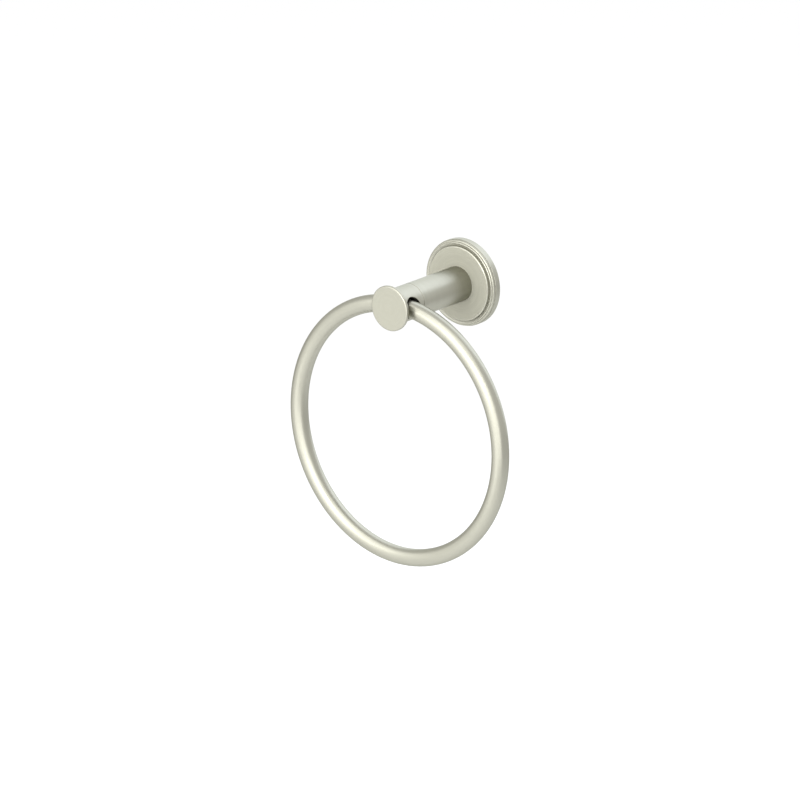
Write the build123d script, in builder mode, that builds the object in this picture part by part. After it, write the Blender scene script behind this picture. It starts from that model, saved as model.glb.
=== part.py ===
"""Towel ring: a round bar ring that hangs loose in the end of a wall post.

Sizes are in millimetres. The origin is the middle of the flange's back, on the wall.
+X is to the right, +Y goes into the wall and +Z is up, so the post stands out along -Y.
Heights are measured out from the wall, and radii from the axis of the post.
"""
from build123d import *
import os
from math import sqrt

# Flange: a turned cover with a moulded edge and a hollow back
rim_radius = 25.15
rim_height = 3.55
rim_chamfer = 0.1
shoulder_inset = 0.3
shoulder_rise = 1.55
shoulder_round = 0.8
bead_inset = 1.0
bead_rise = 0.7
bead_width = 0.7
bead_round = 0.55
cove_width = 1.4
cove_depth = 0.6
face_rise = 0.9
face_round = 0.8
rim_wall = 5.15
face_wall = 2.5
lip_reach = 0.8
lip_height = 1.0
lip_lift = 0.3
lip_arc = 40.0

# Wall bracket: a plate with an undercut edge, screwed to the wall inside the flange
bracket_clearance = 0.4
bracket_gap = 0.2
bracket_undercut = 1.2
bracket_edge = 0.8
bracket_toe = 0.8
wall_screw_spacing = 27.0
wall_screw_hole_radius = 2.25
wall_screw_head_radius = 4.2
countersink_angle = 90.0

# Set screw: goes up through the bottom of the rim and bears under the bracket's edge
set_screw_radius = 1.25
set_screw_height = 1.9
set_screw_recess = 0.4
set_screw_point_gap = 0.1
set_screw_socket = 1.3
set_screw_socket_depth = 1.6

# Post screw and lock washer: hold the post to the flange from the back
post_screw_radius = 3.0
post_screw_clearance = 0.3
post_screw_engagement = 9.0
post_screw_head_radius = 5.0
post_screw_head_height = 2.2
post_screw_head_round = 0.4
post_screw_socket = 4.0
post_screw_socket_depth = 1.4
washer_radius = 5.7
washer_thickness = 1.2
washer_slit = 1.4
driver_clearance = 2.0

# Post: a plain turned bar between the flange and the seam
post_radius = 10.15
post_length = 41.3
seam_chamfer = 0.2
bore_bottom = 1.5
thread_clearance = 0.05
thread_chamfer = 0.6

# Ring holder: the front of the post, with a disc end, screwed into the post
holder_length = 18.8
hole_setback = 9.5
hole_round = 0.3
cap_radius = 13.1
cap_thickness = 1.9
cap_round = 0.8
cap_back_round = 0.35
neck_round = 2.0
spigot_radius = 5.0
spigot_length = 10.0

# Ring: a bar bent to a closed circle, loose in the holder's cross hole
ring_radius = 73.5
bar_radius = 5.0
bar_clearance = 1.0
seat_gap = 0.2

# Heights and radii that follow from the sizes above
shoulder_radius = rim_radius - shoulder_inset
bead_radius = shoulder_radius - bead_inset
cove_radius = bead_radius - bead_width
face_radius = cove_radius - cove_width
shoulder_height = rim_height + shoulder_rise
bead_height = shoulder_height + bead_rise
cove_height = bead_height - cove_depth
face_height = bead_height + face_rise
hollow_radius = rim_radius - rim_wall
hollow_height = face_height - face_wall

bracket_radius = hollow_radius - bracket_clearance
bracket_height = hollow_height - bracket_gap
toe_radius = bracket_radius - bracket_undercut
bevel_top = bracket_height - bracket_edge
bracket_bore_radius = washer_radius + driver_clearance

bevel_slope = bracket_undercut / (bevel_top - bracket_toe)
set_screw_tip = toe_radius + (set_screw_height - bracket_toe) * bevel_slope + set_screw_point_gap
set_screw_end = rim_radius - set_screw_recess

washer_height = hollow_height - washer_thickness
screw_back_height = washer_height - post_screw_head_height
screw_tip_height = face_height + post_screw_engagement
screw_hole_radius = post_screw_radius + post_screw_clearance

seam_height = face_height + post_length
cap_height = seam_height + holder_length
cap_back_height = cap_height - cap_thickness
ring_height = seam_height + hole_setback
hole_radius = bar_radius + bar_clearance

# The ring hangs on the lower lips of the cross hole, a seat gap above them
lip_offset = sqrt(post_radius**2 - hole_radius**2)
inner_drop = ring_radius - sqrt((ring_radius - bar_radius) ** 2 - lip_offset**2)
bar_level = inner_drop - hole_radius + seat_gap
ring_centre = Vector(0, -ring_height, bar_level - ring_radius)


def section_plane(turn=0.0):
    """Plane of a turned section about the post's axis: x is the radius, y the height."""
    radial = Vector(1, 0, 0).rotate(Axis.Y, turn)
    return Plane((0, 0, 0), x_dir=radial, z_dir=radial.cross(Vector(0, -1, 0)))


def facing_out(height):
    """Plane square to the post at a height, looking away from the wall."""
    return Plane((0, -height, 0), x_dir=(1, 0, 0), z_dir=(0, -1, 0))


def facing_wall(height):
    """Plane square to the post at a height, looking at the wall."""
    return Plane((0, -height, 0), x_dir=(1, 0, 0), z_dir=(0, 1, 0))


with BuildPart() as flange:
    with BuildSketch(section_plane()) as flange_section:
        with BuildLine():
            Polyline(
                (0, hollow_height),
                (hollow_radius, hollow_height),
                (hollow_radius, 0),
                (rim_radius, 0),
                (rim_radius, rim_height),
                (shoulder_radius, rim_height),
                (shoulder_radius, shoulder_height),
                (bead_radius, shoulder_height),
                (bead_radius, bead_height),
                (cove_radius, bead_height),
                (face_radius, cove_height),
                (face_radius, face_height),
                (0, face_height),
                close=True,
            )
        make_face()
        for corner, size in (
            ((shoulder_radius, shoulder_height), shoulder_round),
            ((bead_radius, bead_height), bead_round),
            ((face_radius, face_height), face_round),
        ):
            fillet(flange_section.vertices().sort_by_distance(corner)[0], size)
        rim_corner = (rim_radius, rim_height)
        chamfer(flange_section.vertices().sort_by_distance(rim_corner)[0], rim_chamfer)
    revolve(axis=Axis.Y)
    # Lip at the top of the hollow, which hooks behind the bracket's undercut edge
    with BuildSketch(section_plane(-90 - lip_arc / 2)):
        with Locations((hollow_radius, lip_lift)):
            Rectangle(lip_reach * 2, lip_height, align=(Align.CENTER, Align.MIN))
    revolve(axis=Axis.Y, revolution_arc=lip_arc)
    with Locations(facing_out(face_height)):
        Hole(screw_hole_radius)
    with Locations(Plane((0, -set_screw_height, -rim_radius), x_dir=(1, 0, 0), z_dir=(0, 0, -1))):
        Hole(set_screw_radius + thread_clearance, depth=rim_wall + set_screw_radius)

with BuildPart() as wall_bracket:
    with BuildSketch(section_plane()):
        with BuildLine():
            Polyline(
                (bracket_bore_radius, 0),
                (toe_radius, 0),
                (toe_radius, bracket_toe),
                (bracket_radius, bevel_top),
                (bracket_radius, bracket_height),
                (bracket_bore_radius, bracket_height),
                close=True,
            )
        make_face()
    revolve(axis=Axis.Y)
    with Locations(facing_out(bracket_height)):
        with GridLocations(0, wall_screw_spacing, 1, 2):
            CounterSinkHole(
                wall_screw_hole_radius,
                wall_screw_head_radius,
                counter_sink_angle=countersink_angle,
            )

with BuildPart() as set_screw:
    screw_axis = Axis((0, -set_screw_height, 0), (0, 0, 1))
    with BuildSketch(facing_out(set_screw_height)):
        with BuildLine():
            Polyline(
                (0, -set_screw_tip),
                (set_screw_radius, -set_screw_tip - set_screw_radius),
                (set_screw_radius, -set_screw_end),
                (0, -set_screw_end),
                close=True,
            )
        make_face()
    revolve(axis=screw_axis)
    with BuildSketch(Plane((0, -set_screw_height, -set_screw_end), x_dir=(1, 0, 0), z_dir=(0, 0, -1))):
        RegularPolygon(set_screw_socket / 2, 6, major_radius=False)
    extrude(amount=-set_screw_socket_depth, mode=Mode.SUBTRACT)

with BuildPart() as lock_washer:
    with BuildSketch(facing_out(washer_height)):
        Circle(washer_radius)
        Circle(screw_hole_radius, mode=Mode.SUBTRACT)
        Rectangle(washer_slit, washer_radius, align=(Align.CENTER, Align.MIN), mode=Mode.SUBTRACT)
    extrude(amount=washer_thickness)

with BuildPart() as post_screw:
    with BuildSketch(section_plane()) as screw_section:
        with BuildLine():
            Polyline(
                (0, screw_back_height),
                (post_screw_head_radius, screw_back_height),
                (post_screw_head_radius, washer_height),
                (post_screw_radius, washer_height),
                (post_screw_radius, screw_tip_height),
                (0, screw_tip_height),
                close=True,
            )
        make_face()
        head_corner = (post_screw_head_radius, screw_back_height)
        fillet(screw_section.vertices().sort_by_distance(head_corner)[0], post_screw_head_round)
        tip_corner = (post_screw_radius, screw_tip_height)
        chamfer(screw_section.vertices().sort_by_distance(tip_corner)[0], thread_chamfer)
    revolve(axis=Axis.Y)
    with BuildSketch(facing_wall(screw_back_height)):
        RegularPolygon(post_screw_socket / 2, 6, major_radius=False)
    extrude(amount=-post_screw_socket_depth, mode=Mode.SUBTRACT)

with BuildPart() as post:
    with BuildSketch(facing_out(face_height)):
        Circle(post_radius)
    extrude(amount=post_length)
    chamfer(post.edges().sort_by(Axis.Y)[0], seam_chamfer)
    with Locations(facing_wall(face_height)):
        Hole(post_screw_radius + thread_clearance, depth=post_screw_engagement + bore_bottom)
    with Locations(facing_out(seam_height)):
        Hole(spigot_radius + thread_clearance, depth=spigot_length + bore_bottom)

with BuildPart() as ring_holder:
    # The section lies a quarter turn away from the cross hole
    with BuildSketch(section_plane(90)) as holder_section:
        with BuildLine():
            Polyline(
                (0, seam_height - spigot_length),
                (spigot_radius, seam_height - spigot_length),
                (spigot_radius, seam_height),
                (post_radius, seam_height),
                (post_radius, cap_back_height),
                (cap_radius, cap_back_height),
                (cap_radius, cap_height),
                (0, cap_height),
                close=True,
            )
        make_face()
        for corner, size in (
            ((post_radius, cap_back_height), neck_round),
            ((cap_radius, cap_back_height), cap_back_round),
            ((cap_radius, cap_height), cap_round),
        ):
            fillet(holder_section.vertices().sort_by_distance(corner)[0], size)
        for corner, size in (
            ((spigot_radius, seam_height - spigot_length), thread_chamfer),
            ((post_radius, seam_height), seam_chamfer),
        ):
            chamfer(holder_section.vertices().sort_by_distance(corner)[0], size)
    revolve(axis=Axis.Y)
    # Cross hole for the ring, with its two mouths eased
    with Locations(Plane((0, -ring_height, 0), x_dir=(0, 1, 0), z_dir=(1, 0, 0))):
        Hole(hole_radius)
    fillet(ring_holder.edges(Select.LAST), hole_round)

with BuildPart() as ring:
    with BuildSketch(Plane(ring_centre, x_dir=(1, 0, 0), z_dir=(0, 0, 1))):
        with Locations((ring_radius, 0)):
            Circle(bar_radius)
    revolve(axis=Axis(ring_centre, (0, 1, 0)))

os.makedirs("parts", exist_ok=True)
for name, piece in (
    ("wall_bracket", wall_bracket),
    ("flange", flange),
    ("set_screw", set_screw),
    ("post_screw", post_screw),
    ("lock_washer", lock_washer),
    ("post", post),
    ("ring_holder", ring_holder),
    ("ring", ring),
):
    piece.part.label = name
    export_step(piece.part, f"parts/{name}.step")
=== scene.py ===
"""Towel ring in satin nickel: finishes, screw threads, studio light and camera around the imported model.

Lengths in the classes are in millimetres, and Blender's own are in metres.
"""
import logging
from abc import ABC, abstractmethod
from dataclasses import dataclass
from enum import Enum
from math import cos, pi, radians, sin

import bpy
import numpy as np
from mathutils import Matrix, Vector


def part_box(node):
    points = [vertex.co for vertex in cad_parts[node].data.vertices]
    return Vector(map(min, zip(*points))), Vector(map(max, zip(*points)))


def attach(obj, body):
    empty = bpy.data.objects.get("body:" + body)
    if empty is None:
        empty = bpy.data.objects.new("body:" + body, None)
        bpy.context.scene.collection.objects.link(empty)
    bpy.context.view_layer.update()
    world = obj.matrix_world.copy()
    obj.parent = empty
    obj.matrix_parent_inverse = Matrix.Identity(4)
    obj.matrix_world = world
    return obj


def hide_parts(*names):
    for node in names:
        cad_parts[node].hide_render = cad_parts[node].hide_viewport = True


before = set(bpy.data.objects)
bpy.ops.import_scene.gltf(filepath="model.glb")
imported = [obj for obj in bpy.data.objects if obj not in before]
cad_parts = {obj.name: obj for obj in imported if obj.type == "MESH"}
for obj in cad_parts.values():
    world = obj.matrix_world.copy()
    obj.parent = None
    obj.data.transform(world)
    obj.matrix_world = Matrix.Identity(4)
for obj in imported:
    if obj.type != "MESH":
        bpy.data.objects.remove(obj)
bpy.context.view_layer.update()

MM = 0.001
# Most values of a noise texture lie between these
NOISE_LOW = 0.3
NOISE_HIGH = 0.7
# What can go into a node's input: a plain value, or the output of another node
Feed = float | tuple[float, ...] | Vector | bpy.types.NodeSocket
log = logging.getLogger("towel_ring")


class Slot(Enum):
    """The record's material slots of the pieces made here; the finishes are built below and don't come from
    these names.
    """

    ZINC = "zinc_plated_steel"
    OXIDE = "black_oxide_steel"


def linear(colour: str) -> tuple[float, float, float, float]:
    """Turn an sRGB hex colour into linear red, green, blue and a full alpha.

    Args:
        colour: six hex digits after a #.

    Returns:
        Four numbers from 0 to 1.
    """
    parts = np.array([int(colour[i:i + 2], 16) for i in (1, 3, 5)]) / 255
    values = np.where(parts <= 0.04045, parts / 12.92, ((parts + 0.055) / 1.055) ** 2.4)
    return (*values.tolist(), 1.0)


def add_node(tree: bpy.types.NodeTree, kind: str, inputs: dict[str | int, Feed] | None = None,
             **settings: str) -> bpy.types.Node:
    """Add a node, set its properties and fill its inputs.

    Args:
        tree: the node tree to add to.
        kind: the node's type name.
        inputs: input name or number to a plain value, or to the socket that feeds it.
        settings: the node's own properties.

    Returns:
        The new node.
    """
    node = tree.nodes.new(kind)
    for name, value in settings.items():
        setattr(node, name, value)
    for key, value in (inputs or {}).items():
        if isinstance(value, bpy.types.NodeSocket):
            tree.links.new(value, node.inputs[key])
        else:
            node.inputs[key].default_value = value
    return node


def blank_material(name: str) -> bpy.types.Material:
    """Make a material with an empty node tree.

    Args:
        name: the material's name.

    Returns:
        The material.
    """
    made = bpy.data.materials.new(name)
    made.use_nodes = True
    made.node_tree.nodes.clear()
    return made


def bearing(azimuth: float, elevation: float) -> Vector:
    """Give the unit vector from the object towards a place round it.

    Args:
        azimuth: degrees round the object, 0 in front of the wall and 90 on its +X side.
        elevation: degrees above the horizon.

    Returns:
        The direction in the shared frame.
    """
    a, e = radians(azimuth), radians(elevation)
    return Vector((sin(a) * cos(e), -cos(a) * cos(e), sin(e)))


def span(node: str) -> tuple[np.ndarray, np.ndarray]:
    """Find the middle of a CAD node's box and half of its size.

    Args:
        node: the node's name.

    Returns:
        Both along X, Y and Z.
    """
    low, high = (np.array(corner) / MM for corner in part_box(node))
    return (low + high) / 2, (high - low) / 2


def paint(node: str, material: bpy.types.Material) -> None:
    """Give a CAD node its material.

    Args:
        node: the node's name.
        material: what goes into its only slot.
    """
    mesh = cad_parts[node].data
    mesh.materials.clear()
    mesh.materials.append(material)
    log.info("%s: %s", node, material.name)


@dataclass(frozen=True)
class Patch(ABC):
    """A part of a turned surface with a colour and roughness of its own, used for duller finishes and for
    painted light and shade.
    """

    colour: str
    roughness: float

    @abstractmethod
    def share(self, tree: bpy.types.NodeTree, section: bpy.types.NodeSocket) -> bpy.types.NodeSocket:
        """Find which points belong to the patch.

        Args:
            tree: the material's node tree.
            section: gives the distance from the axis and the place along it.

        Returns:
            The socket that gives 0 outside the patch and 1 inside.
        """

    def finish(self, tree: bpy.types.NodeTree, section: bpy.types.NodeSocket, tone: Feed,
               rough: Feed) -> tuple[bpy.types.NodeSocket, bpy.types.NodeSocket]:
        """Put the patch's colour and roughness into a finish.

        Args:
            tree: the material's node tree.
            section: gives the distance from the axis and the place along it.
            tone: the colour elsewhere.
            rough: the roughness elsewhere.

        Returns:
            The sockets that give the colour and the roughness.
        """
        share = self.share(tree, section)
        tones = add_node(tree, "ShaderNodeMix", {
            "Factor": share, "A": tone, "B": linear(self.colour)}, data_type="RGBA")
        roughs = add_node(tree, "ShaderNodeMix", {"Factor": share, "A": rough, "B": self.roughness})
        return tones.outputs["Result"], roughs.outputs["Result"]


@dataclass(frozen=True)
class FlatFace(Patch):
    """Faces square to the axis, rubbed all over at once, which come out duller than the turned sides."""

    # How far the normal lies along the axis where a face starts to count as flat, and where it fully does
    nearly: float = 0.97
    fully: float = 0.999

    def share(self, tree: bpy.types.NodeTree, section: bpy.types.NodeSocket) -> bpy.types.NodeSocket:
        """Find the points whose normal lies along the axis.

        Args:
            tree: the material's node tree.
            section: gives the distance from the axis and the place along it; not used here.

        Returns:
            The socket that gives 0 outside the patch and 1 inside.
        """
        place = add_node(tree, "ShaderNodeTexCoord")
        parts = add_node(tree, "ShaderNodeSeparateXYZ", {0: place.outputs["Normal"]})
        along = add_node(tree, "ShaderNodeMath", {0: parts.outputs["Y"]}, operation="ABSOLUTE")
        return add_node(tree, "ShaderNodeMapRange", {
            "Value": along.outputs[0], "From Min": self.nearly, "From Max": self.fully}).outputs[0]


@dataclass(frozen=True)
class Groove(Patch):
    """A turned groove, as the points about a circle round the axis, with a colour and roughness of its own:
    painted light in the flange's groove and painted shade in the seam.
    """

    radius: float
    along: float
    width: float
    # Shares of the width, from the circle, where the groove's colour and roughness are full and where they
    # are gone
    full: float = 0.4
    gone: float = 0.6

    def share(self, tree: bpy.types.NodeTree, section: bpy.types.NodeSocket) -> bpy.types.NodeSocket:
        """Find the points near the groove's circle.

        Args:
            tree: the material's node tree.
            section: gives the distance from the axis and the place along it.

        Returns:
            The socket that gives 0 outside the patch and 1 inside.
        """
        away = add_node(tree, "ShaderNodeVectorMath", {
            0: section, 1: (self.radius, self.along, 0)}, operation="DISTANCE")
        return add_node(tree, "ShaderNodeMapRange", {
            "Value": away.outputs["Value"], "From Min": self.full * self.width,
            "From Max": self.gone * self.width, "To Min": 1.0, "To Max": 0.0}).outputs[0]


@dataclass(frozen=True)
class SatinNickel:
    """Nickel plate rubbed by a fine abrasive band, with a soft, slightly warm sheen and faint lines."""

    colour: str = "#A09F93"
    # The lines shade each other at a glancing angle, so the outlines stay a little dark
    glancing: str = "#CBCBC5"
    roughness: float = 0.35
    roughness_spread: float = 0.035
    # The real lines are about 0.05 mm apart, and are drawn coarser so that a close view can hold them
    line_pitch: float = 0.22
    line_depth: float = 0.0012
    # Streaks lie where the band pressed more, and leave this share of the tone at most
    streak_pitch: float = 2.5
    streak_tone: float = 0.89
    # How many times as long as wide the lines and streaks are
    stretch: float = 25.0
    noise_detail: float = 2.0

    def places(self, tree: bpy.types.NodeTree, centre: Vector,
               radius: float) -> tuple[bpy.types.NodeSocket, bpy.types.NodeSocket, bpy.types.NodeSocket]:
        """Work out where a point lies about the axis that the piece was rubbed round.

        The lines are drawn at (t x, r, t z), with (x, z) the direction from the axis, r the distance
        from it and t the usual radius over the stretch.

        Args:
            tree: the material's node tree.
            centre: a point on the axis, which runs along Y.
            radius: the usual radius of the circles.

        Returns:
            The sockets that give the lines' place, the place along the axis, and both r and that place.
        """
        place = add_node(tree, "ShaderNodeTexCoord")
        local = add_node(tree, "ShaderNodeMapping", {
            "Vector": place.outputs["Object"], "Location": -centre, "Scale": (1 / MM,) * 3})
        parts = add_node(tree, "ShaderNodeSeparateXYZ", {0: local.outputs[0]})
        flat = add_node(tree, "ShaderNodeVectorMath", {
            0: local.outputs[0], 1: (1, 0, 1)}, operation="MULTIPLY")
        reach = add_node(tree, "ShaderNodeVectorMath", {0: flat.outputs[0]}, operation="LENGTH")
        turn = add_node(tree, "ShaderNodeVectorMath", {0: flat.outputs[0]}, operation="NORMALIZE")
        across = add_node(tree, "ShaderNodeCombineXYZ", {"Y": reach.outputs["Value"]})
        slow = radius / self.stretch
        spot = add_node(tree, "ShaderNodeVectorMath", {
            0: turn.outputs[0], 1: (slow, 0, slow), 2: across.outputs[0]}, operation="MULTIPLY_ADD")
        section = add_node(tree, "ShaderNodeCombineXYZ", {
            "X": reach.outputs["Value"], "Y": parts.outputs["Y"]})
        return spot.outputs[0], parts.outputs["Y"], section.outputs[0]

    def material(self, piece: str, centre: Vector, radius: float,
                 patches: tuple[Patch, ...] = ()) -> bpy.types.Material:
        """Build the material for pieces that were rubbed in circles round one axis.

        Args:
            piece: what the material is for, which goes into its name.
            centre: a point on the axis, which runs along Y.
            radius: the usual radius of the circles.
            patches: the parts of the surface with a colour and roughness of their own, painted light and
                shade among them.

        Returns:
            The material.
        """
        made = blank_material(f"satin_nickel_rubbed_{piece}")
        tree = made.node_tree
        spot, along, section = self.places(tree, centre, radius)
        lines, streaks = (
            add_node(tree, "ShaderNodeTexNoise", {
                "Vector": spot, "W": along, "Scale": 1 / pitch, "Detail": self.noise_detail},
                noise_dimensions="4D")
            for pitch in (self.line_pitch, self.streak_pitch))
        tone: Feed = linear(self.colour)
        rough: Feed = self.roughness
        for patch in patches:
            tone, rough = patch.finish(tree, section, tone, rough)
        # Streaks keep large faces from looking flat
        press = add_node(tree, "ShaderNodeMapRange", {
            "Value": streaks.outputs[0], "To Min": 1.0, "To Max": self.streak_tone})
        streaked = add_node(tree, "ShaderNodeMix", {
            "Factor": 1.0, "A": tone, "B": press.outputs[0]}, data_type="RGBA", blend_type="MULTIPLY")
        # Lines catch the light unevenly, so the sheen is grained and not glassy
        grain = add_node(tree, "ShaderNodeMapRange", {
            "Value": lines.outputs[0], "From Min": NOISE_LOW, "From Max": NOISE_HIGH,
            "To Min": -self.roughness_spread, "To Max": self.roughness_spread})
        sheen = add_node(tree, "ShaderNodeMath", {0: rough, 1: grain.outputs[0]}, operation="ADD")
        relief = add_node(tree, "ShaderNodeBump", {
            "Height": lines.outputs[0], "Distance": self.line_depth * MM, "Strength": 1.0})
        metal = add_node(tree, "ShaderNodeBsdfPrincipled", {
            "Base Color": streaked.outputs["Result"], "Metallic": 1.0,
            "Specular Tint": linear(self.glancing),
            "Roughness": sheen.outputs[0], "Normal": relief.outputs[0]})
        add_node(tree, "ShaderNodeOutputMaterial", {"Surface": metal.outputs[0]})
        return made


@dataclass(frozen=True)
class MottledMetal:
    """A treated steel surface with soft clouds in its colour and sheen, and a fine grain."""

    name: str
    colour: str
    cloud: str
    roughness: float
    roughness_spread: float
    cloud_size: float
    grain_size: float
    grain_depth: float
    # Values of the noise where the clouds start and where they are full
    cloud_start: float = 0.35
    cloud_full: float = 0.65
    noise_detail: float = 3.0

    def material(self) -> bpy.types.Material:
        """Build the material.

        Returns:
            The material.
        """
        made = blank_material(self.name)
        tree = made.node_tree
        place = add_node(tree, "ShaderNodeTexCoord")
        clouds, grain = (
            add_node(tree, "ShaderNodeTexNoise", {
                "Vector": place.outputs["Object"], "Scale": 1 / (size * MM), "Detail": self.noise_detail})
            for size in (self.cloud_size, self.grain_size))
        # Clouds of the bath's crystals shift the tone a little
        tone = add_node(tree, "ShaderNodeValToRGB", {"Fac": clouds.outputs[0]})
        stops = ((self.cloud_start, self.colour), (self.cloud_full, self.cloud))
        for stop, (position, colour) in zip(tone.color_ramp.elements, stops):
            stop.position = position
            stop.color = linear(colour)
        rough = add_node(tree, "ShaderNodeMapRange", {
            "Value": clouds.outputs[0], "From Min": NOISE_LOW, "From Max": NOISE_HIGH,
            "To Min": self.roughness - self.roughness_spread,
            "To Max": self.roughness + self.roughness_spread})
        # The grain of the steel under the coat breaks the highlight
        relief = add_node(tree, "ShaderNodeBump", {
            "Height": grain.outputs[0], "Distance": self.grain_depth * MM, "Strength": 1.0})
        metal = add_node(tree, "ShaderNodeBsdfPrincipled", {
            "Base Color": tone.outputs[0], "Metallic": 1.0,
            "Roughness": rough.outputs[0], "Normal": relief.outputs[0]})
        add_node(tree, "ShaderNodeOutputMaterial", {"Surface": metal.outputs[0]})
        return made


# Zinc plate with a clear passivation: a pale, cool grey with soft clouds
ZINC = MottledMetal(
    name="zinc_plated_steel_passivated", colour="#B5B8BA", cloud="#A3A6A9", roughness=0.34,
    roughness_spread=0.06, cloud_size=5.0, grain_size=0.35, grain_depth=0.002)
# Black oxide under oil: near black, with a dull brownish cast where the coat is thin
OXIDE = MottledMetal(
    name="black_oxide_steel_oiled", colour="#1A1A1C", cloud="#282624", roughness=0.42,
    roughness_spread=0.08, cloud_size=1.2, grain_size=0.2, grain_depth=0.002)


@dataclass(frozen=True)
class SocketScrew:
    """A socket screw with a rolled thread, which stands for the plain CAD screw."""

    node: str
    slot: Slot
    axis: Vector
    radius: float
    pitch: float
    head_radius: float
    head_height: float
    head_round: float
    socket: float
    socket_depth: float
    tip_length: float
    tip_radius: float
    # Shares of the pitch: the thread's depth, and the flat at each crest and root
    thread_depth: float = 0.6134
    thread_flat: float = 0.1
    sides: int = 48
    rows_per_pitch: int = 12
    corner_rows: int = 5
    # Degrees between faces past which an edge stays sharp
    sharp_angle: float = 25.0

    def surface(self, length: float) -> tuple[np.ndarray, np.ndarray]:
        """Work out the screw's surface as a grid of rings along its axis.

        Each ring is (a, p cos q, p sin q), a along the axis from the socket's end and q round it.
        In the socket p is that of a hexagon of flats f, f / 2 / cos(q folded to 30 degrees each way).
        In the thread p is R - d c, with R the radius, d the depth and c = (w - s) / (1 - 2 s) held from
        0 to 1, where w = |2 frac(a / P - q / 2 pi) - 1|, P is the pitch and s the flat share.
        Over the first and the last pitch the cut c runs out.

        Args:
            length: from the socket's end to the tip.

        Returns:
            The grids of places along the axis and of radii, one row per ring.
        """
        q = np.linspace(0, 2 * pi, self.sides, endpoint=False)
        hexagon = self.socket / 2 / np.cos((q + pi / 6) % (pi / 3) - pi / 6)
        bend = np.linspace(0, pi / 2, self.corner_rows)[:, None]
        corner_along = self.head_round * (1 - np.cos(bend))
        corner_radius = self.head_radius - self.head_round * (1 - np.sin(bend))
        shank = length - self.head_height - self.tip_length
        a = np.linspace(0, shank, int(shank / self.pitch * self.rows_per_pitch))[:, None]
        wave = np.abs(2 * ((a / self.pitch - q / (2 * pi)) % 1) - 1)
        cut = np.clip((wave - self.thread_flat) / (1 - 2 * self.thread_flat), 0, 1)
        run_out = np.clip(np.minimum(a, shank - a) / self.pitch, 0, 1)
        thread = self.radius - self.thread_depth * self.pitch * cut * run_out
        along = np.vstack([[[self.socket_depth], [0.0]], corner_along, [[self.head_height]],
                           self.head_height + a, [[length]]])
        wide = np.ones_like(q)
        radii = np.vstack([hexagon, hexagon, corner_radius * wide, self.head_radius * wide,
                           thread, self.tip_radius * wide])
        return along * wide, radii

    def build(self, material: bpy.types.Material) -> None:
        """Make the screw in the CAD screw's place.

        Args:
            material: the screw's finish.
        """
        middle, half = span(self.node)
        axis = np.array(self.axis)
        length = float(2 * half @ np.abs(axis))
        start = middle - axis * length / 2
        along, radii = self.surface(length)
        across = np.array(self.axis.orthogonal().normalized())
        q = np.linspace(0, 2 * pi, self.sides, endpoint=False)
        out = np.cos(q)[:, None] * across + np.sin(q)[:, None] * np.cross(axis, across)
        points = start + along[..., None] * axis + radii[..., None] * out
        first = np.arange(len(points) - 1)[:, None] * self.sides
        here = np.arange(self.sides)
        there = (here + 1) % self.sides
        quads = np.stack([
            first + here, first + self.sides + here, first + self.sides + there, first + there], -1)
        ends = [here[::-1].tolist(), (here + (len(points) - 1) * self.sides).tolist()]
        mesh = bpy.data.meshes.new(f"{self.node}_threaded")
        mesh.from_pydata((points.reshape(-1, 3) * MM).tolist(), [], quads.reshape(-1, 4).tolist() + ends)
        mesh.shade_smooth()
        mesh.set_sharp_from_angle(angle=radians(self.sharp_angle))
        mesh.materials.append(material)
        piece = bpy.data.objects.new(mesh.name, mesh)
        bpy.context.scene.collection.objects.link(piece)
        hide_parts(self.node)
        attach(piece, "wall_mount")
        log.info("%s: thread M%g x %g, %s", self.node, 2 * self.radius, self.pitch, material.name)


@dataclass(frozen=True)
class WallFixing:
    """The bracket on the wall and the screws, all behind the flange."""

    post_screw: SocketScrew = SocketScrew(
        node="post_screw", slot=Slot.ZINC, axis=Vector((0, -1, 0)), radius=3.0, pitch=1.0,
        head_radius=5.0, head_height=2.2, head_round=0.4, socket=4.0, socket_depth=1.4,
        tip_length=0.6, tip_radius=2.4)
    set_screw: SocketScrew = SocketScrew(
        node="set_screw", slot=Slot.OXIDE, axis=Vector((0, 0, 1)), radius=1.25, pitch=0.45,
        head_radius=1.25, head_height=0.3, head_round=0.12, socket=1.3, socket_depth=1.6,
        tip_length=1.25, tip_radius=0.05)

    def dress(self) -> None:
        """Put the finishes on, and the threaded screws in place of the plain ones."""
        zinc = ZINC.material()
        for node in ("wall_bracket", "lock_washer"):
            paint(node, zinc)
        self.post_screw.build(zinc)
        self.set_screw.build(OXIDE.material())


@dataclass(frozen=True)
class WallPost:
    """The turned pieces on one axis: flange, post and ring holder."""

    nickel: SatinNickel
    # The flange's wide face was rubbed on a flat belt, which leaves it duller than the small disc; its
    # paler colour is painted light that brightens the whole face evenly
    dull_flange_face_painted_light: FlatFace = FlatFace("#B5B4A8", 0.9)
    disc_roughness: float = 0.6
    # The groove between the face and the bead is painted paler, painted light that lifts the shade in its
    # hollow, and it has a duller roughness
    cove_painted_light: Groove = Groove("#ABAA9F", 0.65, radius=22.45, along=-4.9, width=1.6)
    # The seam's small groove is painted darker: painted shade in the joint, which also dims the highlight
    # on its chamfers
    seam_shade_colour: str = "#7F7E74"
    seam_shade_width: float = 0.45

    def dress(self) -> None:
        """Put the turned satin finish on, with painted light on the flange's face and in its groove, and
        painted shade in the seam.
        """
        origin = Vector((0, 0, 0))
        middle, half = span("post")
        radius = half[0]
        disc_face = FlatFace(self.nickel.colour, self.disc_roughness)
        # Painted shade along the seam between the post and the ring holder
        seam = Groove(self.seam_shade_colour, self.nickel.roughness, radius=radius, along=middle[1] - half[1],
                      width=self.seam_shade_width)
        # Painted light on the flange's wide face and in its groove
        paint("flange", self.nickel.material("flange", origin, radius, (self.dull_flange_face_painted_light, self.cove_painted_light)))
        turned = self.nickel.material("post", origin, radius, (disc_face, seam))
        for node in ("post", "ring_holder"):
            paint(node, turned)


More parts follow.
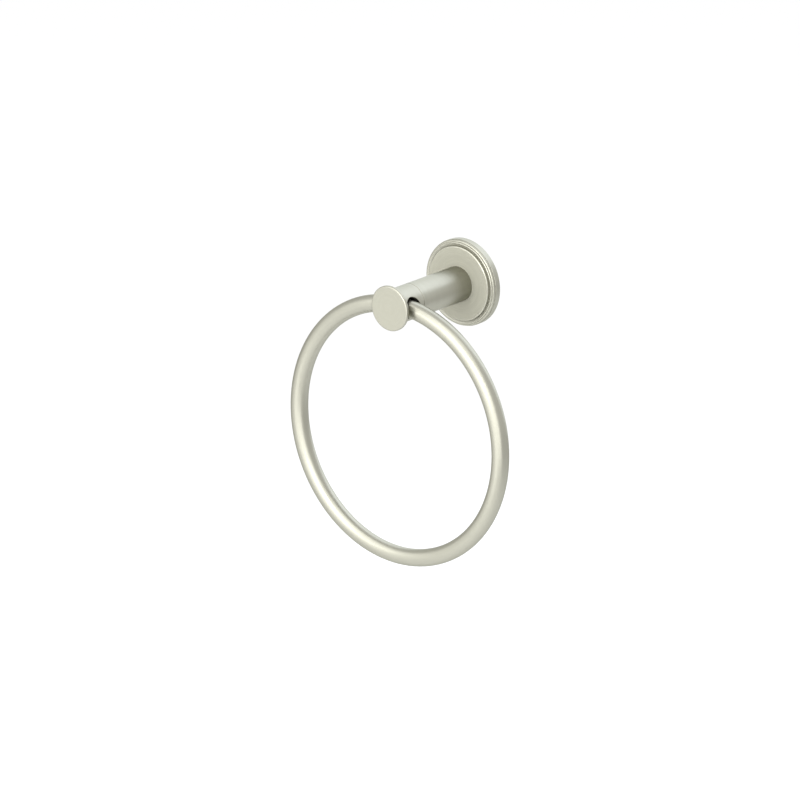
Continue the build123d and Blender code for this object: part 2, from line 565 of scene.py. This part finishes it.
@dataclass(frozen=True)
class HangingRing:
    """The ring of bent bar."""

    nickel: SatinNickel

    def centre(self) -> Vector:
        """Find the middle of the ring."""
        return Vector(span("ring")[0])

    def dress(self) -> None:
        """Put the satin finish on round the bar's middle line, half a bar inside the ring's edge."""
        half_width, half_bar, _ = span("ring")[1]
        paint("ring", self.nickel.material("ring", self.centre(), half_width - half_bar))


@dataclass(frozen=True)
class Softbox:
    """A flat soft lamp that faces the object."""

    name: str
    azimuth: float
    elevation: float
    radiance: float
    distance: float = 1150.0
    width: float = 966.0
    height: float = 1150.0
    colour: str = "#FFFFFF"

    def place(self, target: Vector) -> None:
        """Put the lamp in the scene.

        Args:
            target: the point that the lamp faces.
        """
        lamp = bpy.data.lights.new(self.name, "AREA")
        lamp.shape = "RECTANGLE"
        lamp.size = self.width * MM
        lamp.size_y = self.height * MM
        lamp.energy = self.radiance * pi * lamp.size * lamp.size_y
        lamp.color = linear(self.colour)[:3]
        lamp_object = bpy.data.objects.new(self.name, lamp)
        bpy.context.scene.collection.objects.link(lamp_object)
        away = bearing(self.azimuth, self.elevation)
        lamp_object.location = (target + away * self.distance) * MM
        lamp_object.rotation_euler = away.to_track_quat("Z", "Y").to_euler()
        lamp_object.visible_camera = False


@dataclass(frozen=True)
class Studio:
    """The floor, the even surroundings and the lamps."""

    floor_depth: float = 700.0
    floor_size: float = 30000.0
    floor_colour: str = "#E3E3E3"
    # Lifts the floor to white where it is seen or mirrored, and adds no light elsewhere
    floor_fill: float = 0.05
    world_level: float = 1.19
    lamps: tuple[Softbox, ...] = (
        Softbox("key_left_high", azimuth=-22.0, elevation=44.0, radiance=1.48),
        Softbox("key_right_high", azimuth=33.0, elevation=52.0, radiance=1.12),
        Softbox("key_left_low", azimuth=-9.0, elevation=2.0, radiance=1.81),
        Softbox("key_right_low", azimuth=35.0, elevation=8.0, radiance=1.86),
        Softbox("key_centre", azimuth=9.5, elevation=24.0, radiance=4.35,
                distance=1300.0, width=572.0, height=572.0),
        Softbox("left_fill", azimuth=-51.0, elevation=8.0, radiance=0.72,
                distance=1300.0, width=910.0, height=2080.0),
        Softbox("back", azimuth=-169.0, elevation=26.0, radiance=1.37,
                distance=1300.0, width=1950.0, height=1950.0, colour="#E8F0FF"),
        Softbox("back_top", azimuth=162.0, elevation=48.0, radiance=0.24,
                distance=1300.0, width=1040.0, height=1040.0, colour="#E8F0FF"),
    )

    def build(self, target: Vector) -> None:
        """Make the floor, world and lamps.

        Args:
            target: the point that the lamps face.
        """
        self.floor()
        self.world()
        for lamp in self.lamps:
            lamp.place(target)
        log.info("studio: %d lamps", len(self.lamps))

    def floor(self) -> None:
        """Lay a pale floor that shows white and still takes a shadow."""
        half = self.floor_size / 2 * MM
        level = -self.floor_depth * MM
        mesh = bpy.data.meshes.new("floor")
        mesh.from_pydata(
            [(-half, -half, level), (half, -half, level), (half, half, level), (-half, half, level)],
            [], [(0, 1, 2, 3)])
        floor = bpy.data.objects.new("floor", mesh)
        bpy.context.scene.collection.objects.link(floor)
        made = blank_material("floor_paper_matt")
        tree = made.node_tree
        path = add_node(tree, "ShaderNodeLightPath")
        direct = add_node(tree, "ShaderNodeMath", {
            0: path.outputs["Is Camera Ray"], 1: path.outputs["Is Glossy Ray"]}, operation="MAXIMUM")
        seen = add_node(tree, "ShaderNodeMath", {
            0: direct.outputs[0], 1: path.outputs["Is Transmission Ray"]}, operation="MAXIMUM")
        fill = add_node(tree, "ShaderNodeMath", {
            0: seen.outputs[0], 1: self.floor_fill}, operation="MULTIPLY")
        glow = add_node(tree, "ShaderNodeEmission", {"Strength": fill.outputs[0]})
        paper = add_node(tree, "ShaderNodeBsdfDiffuse", {"Color": linear(self.floor_colour)})
        both = add_node(tree, "ShaderNodeAddShader", {0: paper.outputs[0], 1: glow.outputs[0]})
        add_node(tree, "ShaderNodeOutputMaterial", {"Surface": both.outputs[0]})
        mesh.materials.append(made)

    def world(self) -> None:
        """Surround the object with even white light."""
        world = bpy.data.worlds.new("studio")
        world.use_nodes = True
        background = world.node_tree.nodes["Background"]
        background.inputs["Color"].default_value = (1.0, 1.0, 1.0, 1.0)
        background.inputs["Strength"].default_value = self.world_level
        bpy.context.scene.world = world


@dataclass(frozen=True)
class ViewCamera:
    """A camera so far away that the view is nearly parallel."""

    azimuth: float = 40.03
    elevation: float = 17.97
    distance: float = 20000.0
    # The width that the picture takes in at the ring
    frame_width: float = 448.15
    # The picture's middle, to the right of and above the ring's
    aim_right: float = 0.16
    aim_up: float = 17.02
    sensor: float = 36.0

    def place(self, ring_centre: Vector) -> None:
        """Put the camera in the scene.

        Args:
            ring_centre: the middle of the ring.
        """
        towards = bearing(self.azimuth, self.elevation)
        turn = towards.to_track_quat("Z", "Y")
        aim = ring_centre + turn @ Vector((self.aim_right, self.aim_up, 0))
        camera = bpy.data.cameras.new("camera")
        camera.sensor_width = self.sensor
        camera.lens = self.sensor * self.distance / self.frame_width
        camera_object = bpy.data.objects.new("camera", camera)
        bpy.context.scene.collection.objects.link(camera_object)
        camera_object.location = (aim + towards * self.distance) * MM
        camera_object.rotation_euler = turn.to_euler()
        bpy.context.scene.camera = camera_object


def main() -> None:
    """Dress the model and set the stage."""
    logging.basicConfig(level=logging.INFO, format="%(name)s: %(message)s")
    nickel = SatinNickel()
    ring = HangingRing(nickel)
    WallFixing().dress()
    WallPost(nickel).dress()
    ring.dress()
    Studio().build(ring.centre())
    ViewCamera().place(ring.centre())
    bpy.context.scene.view_settings.view_transform = "Standard"


if __name__ == "__main__":
    main()
